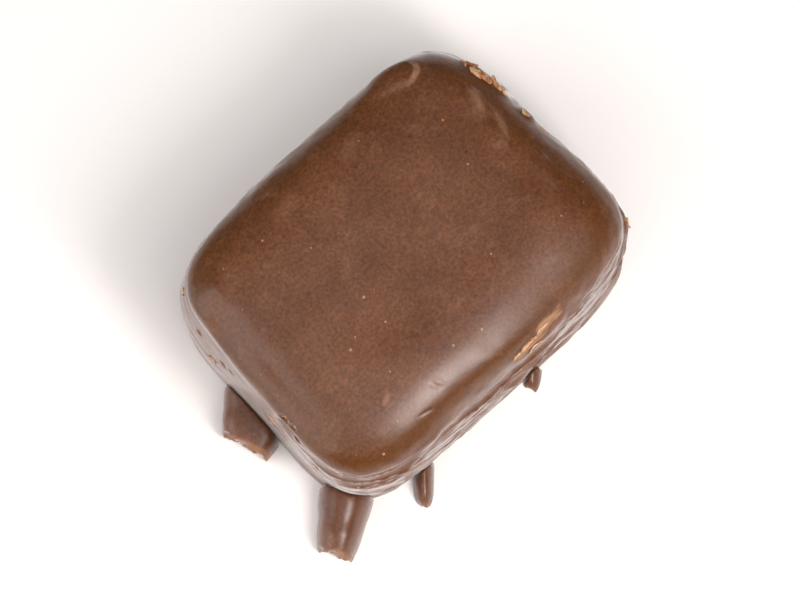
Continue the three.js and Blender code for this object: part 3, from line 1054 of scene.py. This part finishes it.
class ChocolateFinish(bpy.types.PropertyGroup):
    """The coat's colours and gloss."""

    milk: colour_setting("Milk", "Main colour of the coat", "#5a3521")
    cloud: colour_setting("Cloud", "Slightly paler fat clouds in it", "#68412a")
    # Painted shade over the upper rolls: darker, and also warmer for the thinner coat.
    thin: colour_setting("Thin", "Warmer colour where the coat is thin", "#562f0a")
    smudge: colour_setting("Smudge", "Paler patches of bloomed fat", "#79533c")
    fleck: colour_setting("Fleck", "Milk powder flecks", "#a98062")
    pore: colour_setting("Pore", "Pores and pinpricks", "#341c10")
    # Also laid along the fold's front, where it is a painted highlight.
    broken: colour_setting("Broken", "Chocolate at a break", "#94694d")
    showing: colour_setting("Showing", "Coconut through worn coat", "#a67d5c")
    roughness: setting("Roughness", "Roughness of the blown top", 0.35, **SHARE)
    wall_roughness: setting("Wall roughness", "Roughness of the walls", 0.22, **SHARE)
    bloom: setting("Bloom", "Fat bloom, pale where seen aslant", 0.6, **SHARE)


class CoconutFinish(bpy.types.PropertyGroup):
    """The bare shreds' colours."""

    flesh: colour_setting("Flesh", "Clean dried coconut", "#be9774")
    stained: colour_setting("Stained", "Coconut stained with chocolate", "#96592c")


class StudioSettings(bpy.types.PropertyGroup):
    """Camera and lights."""

    azimuth: setting("Azimuth", "Camera's way round the chew", math.radians(-44), **ANGLE)
    elevation: setting("Elevation", "Camera's height above the horizon", math.radians(77), **ANGLE)
    view_width: setting("View width", "Width of what the camera sees", 68.6 * MM, **LENGTH)
    ceiling: setting("Ceiling", "Radiance of the panel", 1.05)
    key: setting("Key", "Radiance of the key softbox", 2.2)
    core: setting("Core", "Radiance of the key's bright core", 18.0)
    side: setting("Side", "Radiance of the side card", 2.4)
    room: setting("Room", "Strength of the room's light", 0.22)
    floor: colour_setting("Floor", "Studio sweep", "#f2f0ee")


# -------------------- operators


class CHEW_OT_add_coat(bpy.types.Operator):
    """Adds the chocolate coat: body, foot and tails as one closed skin"""

    bl_idname = "chew.add_coat"
    bl_label = "Add Chocolate Coat"

    def execute(self, context):
        pillow = Pillow(context.scene.chew_sizes)
        body = make_body(pillow)
        tails = [make_tail(tail) for tail in TAILS]
        known = np.vstack([get_points(solid.data.vertices) for solid in (body, *tails)])
        shape = unite(body, tails)
        soften_seams(shape, known)
        cut_flat(shape)
        material = milk_chocolate(context.scene.chew_chocolate)
        coat = finish_piece("chocolate_coat", shape, material)
        add_coat_paint(coat, pillow)
        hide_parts(CAD_NODE)
        return {"FINISHED"}


class CHEW_OT_add_flakes(bpy.types.Operator):
    """Adds the bare coconut shreds that stand out of the coat"""

    bl_idname = "chew.add_flakes"
    bl_label = "Add Coconut Flakes"

    def execute(self, context):
        sizes = context.scene.chew_sizes
        pillow = Pillow(sizes)
        draw = make_draws(sizes.flake_seed)
        shape = bmesh.new()
        for flake in BARE_FLAKES:
            place, normal = pillow.spot(flake.at)
            blade = (flake.length, flake.width, flake.thickness)
            add_flake(shape, pillow, place, normal, heading(flake.turn), blade, draw)
        for place, normal, run, (length, width), height in draw_shreds(pillow, WALL_FLAKES):
            add_flake(shape, pillow, place, normal, run, (length, width, height), draw)
        material = shredded_coconut(context.scene.chew_coconut)
        finish_piece("coconut_flakes", shape, material)
        return {"FINISHED"}


def aim(item, place, target):
    """Puts a light or camera at a place, looking at a target."""
    item.location = place
    item.rotation_euler = (target - place).to_track_quat("-Z", "Y").to_euler()
    bpy.context.scene.collection.objects.link(item)


def add_softbox(softbox, radiance):
    """A rectangular softbox that shines on the chew from one way."""
    light = bpy.data.lights.new(softbox.name, "AREA")
    light.shape = "RECTANGLE"
    light.size, light.size_y = softbox.size
    light.energy = math.pi * light.size * light.size_y * radiance
    light.color = softbox.colour
    item = bpy.data.objects.new(softbox.name, light)
    item.visible_camera = False
    aim(item, TARGET + Vector(softbox.way).normalized() * softbox.distance, TARGET)


class CHEW_OT_add_studio(bpy.types.Operator):
    """Adds the floor, softboxes, room light and camera"""

    bl_idname = "chew.add_studio"
    bl_label = "Add Studio"

    def execute(self, context):
        studio = context.scene.chew_studio
        floor = bmesh.new()
        bmesh.ops.create_grid(floor, x_segments=4, y_segments=4, size=FLOOR_HALF)
        sweep = new_object("studio_floor", floor)
        sweep.data.materials.append(matt_paint("matt white sweep", studio.floor))

        add_softbox(CEILING_PANEL, studio.ceiling)
        add_softbox(KEY_SOFTBOX, studio.key)
        add_softbox(KEY_CORE, studio.core)
        add_softbox(SIDE_CARD, studio.side)

        # The room only fills in: gloss mirrors the panels and the floor, so rolls that face
        # neither keep the coat's own deep colour.
        world = bpy.data.worlds.new("studio room")
        context.scene.world = world
        world.use_nodes = True
        world.cycles_visibility.glossy = False
        background = world.node_tree.nodes["Background"]
        background.inputs["Color"].default_value = ROOM_COLOUR
        background.inputs["Strength"].default_value = studio.room
        context.scene.view_settings.view_transform = "Standard"

        camera = bpy.data.cameras.new("photo view")
        camera.lens = LENS
        camera.clip_end = FAR_CLIP
        distance = studio.view_width * camera.lens / camera.sensor_width
        toward = Vector((math.sin(studio.azimuth), -math.cos(studio.azimuth), 0))
        back = toward * math.cos(studio.elevation) + Vector(UP) * math.sin(studio.elevation)
        centre = TARGET + toward * VIEW_SHIFT
        item = bpy.data.objects.new("photo view", camera)
        aim(item, centre + back * distance, centre)
        context.scene.camera = item
        return {"FINISHED"}


class CHEW_PT_panel(bpy.types.Panel):
    """The chew's settings and operators"""

    bl_label = "Coconut Chew"
    bl_space_type = "VIEW_3D"
    bl_region_type = "UI"
    bl_category = "Chew"

    def draw(self, context):
        for group in SETTINGS:
            box = self.layout.box()
            settings = getattr(context.scene, group)
            for name in settings.__annotations__:
                box.prop(settings, name)
        for operator in OPERATORS:
            self.layout.operator(operator.bl_idname)


SETTINGS = {
    "chew_sizes": ChewSizes,
    "chew_chocolate": ChocolateFinish,
    "chew_coconut": CoconutFinish,
    "chew_studio": StudioSettings,
}
OPERATORS = (CHEW_OT_add_studio, CHEW_OT_add_coat, CHEW_OT_add_flakes)
CLASSES = (*SETTINGS.values(), *OPERATORS, CHEW_PT_panel)


def register():
    for kind in CLASSES:
        bpy.utils.register_class(kind)
    for name, group in SETTINGS.items():
        setattr(bpy.types.Scene, name, PointerProperty(type=group))


def unregister():
    for name in SETTINGS:
        delattr(bpy.types.Scene, name)
    for kind in reversed(CLASSES):
        bpy.utils.unregister_class(kind)


def main():
    register()
    bpy.ops.chew.add_studio()
    bpy.ops.chew.add_coat()
    bpy.ops.chew.add_flakes()


if __name__ == "__main__":
    main()
